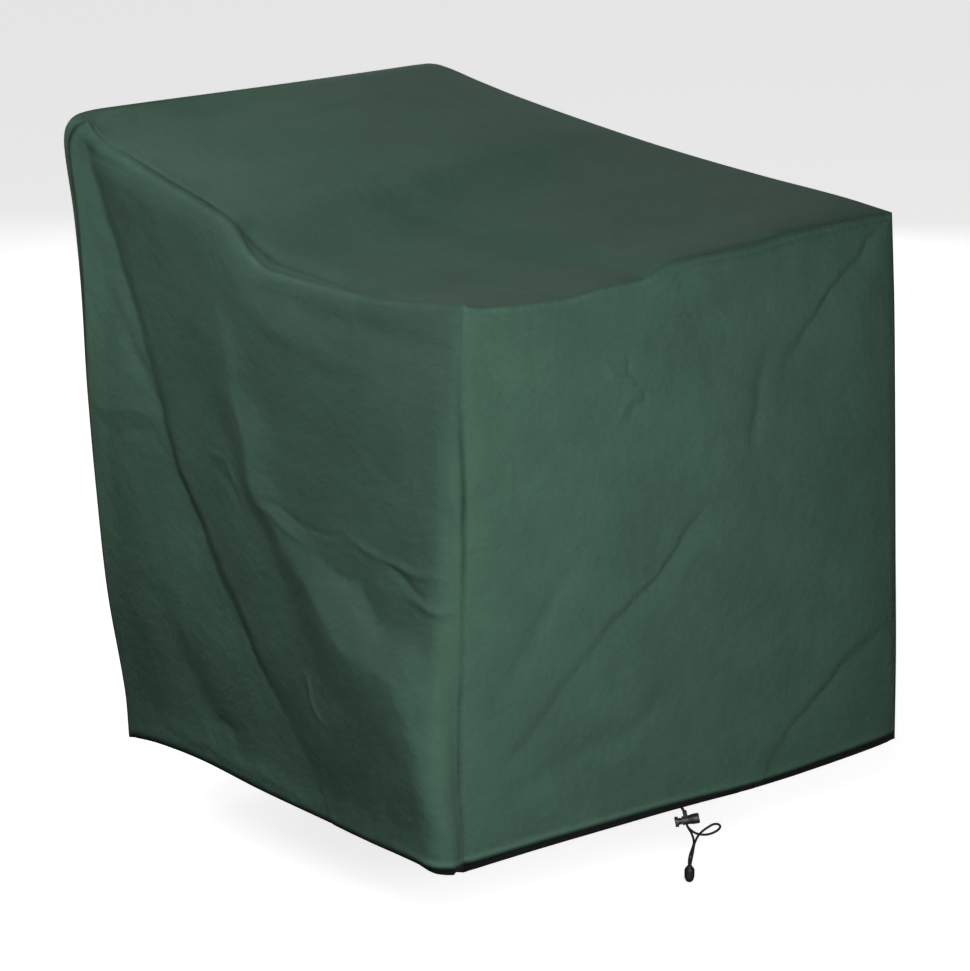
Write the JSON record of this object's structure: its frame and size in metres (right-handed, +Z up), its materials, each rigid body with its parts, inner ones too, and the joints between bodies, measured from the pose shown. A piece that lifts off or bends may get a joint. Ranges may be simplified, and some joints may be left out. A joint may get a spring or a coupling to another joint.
{
  "type": "fitted furniture cover",
  "caption": "Fitted cloth cover for a single armchair with a raised back, sewn from flat panels, with a drawcord, a cord lock and a cord end at the front hem.",
  "frame": {"origin": "under the top panel, midway across the cover and midway along its hem, where the chair holds the cover up", "axes": "+X across to the right-hand side, +Y from the front to the back, +Z up"},
  "size_m": [0.8126, 0.9361, 0.8982],
  "materials": {
    "cover_cloth": "dull woven, coated",
    "drawcord": "braided",
    "cord_fittings": "satin"
  },
  "bodies": {
    "cover": {"top_panel": "cover_cloth", "front_panel": "cover_cloth", "left_panel": "cover_cloth", "right_panel": "cover_cloth", "back_panel": "cover_cloth", "cord_stub_back": "drawcord", "cord_stub_front": "drawcord", "cord_straight_strand": "drawcord", "cord_looped_strand": "drawcord", "cord_lock_barrel": "cord_fittings", "cord_end": "cord_fittings"},
    "plunger": {"cord_lock_plunger": "cord_fittings"}
  },
  "joints": [
    {"name": "lock_plunger_slide", "type": "slide", "parent": "cover", "child": "plunger", "axis": [0.752, -0.631, 0.1908], "range_m": [0, 0.004], "stiffness_N_per_m": 600, "springref_m": -0.002}
  ]
}
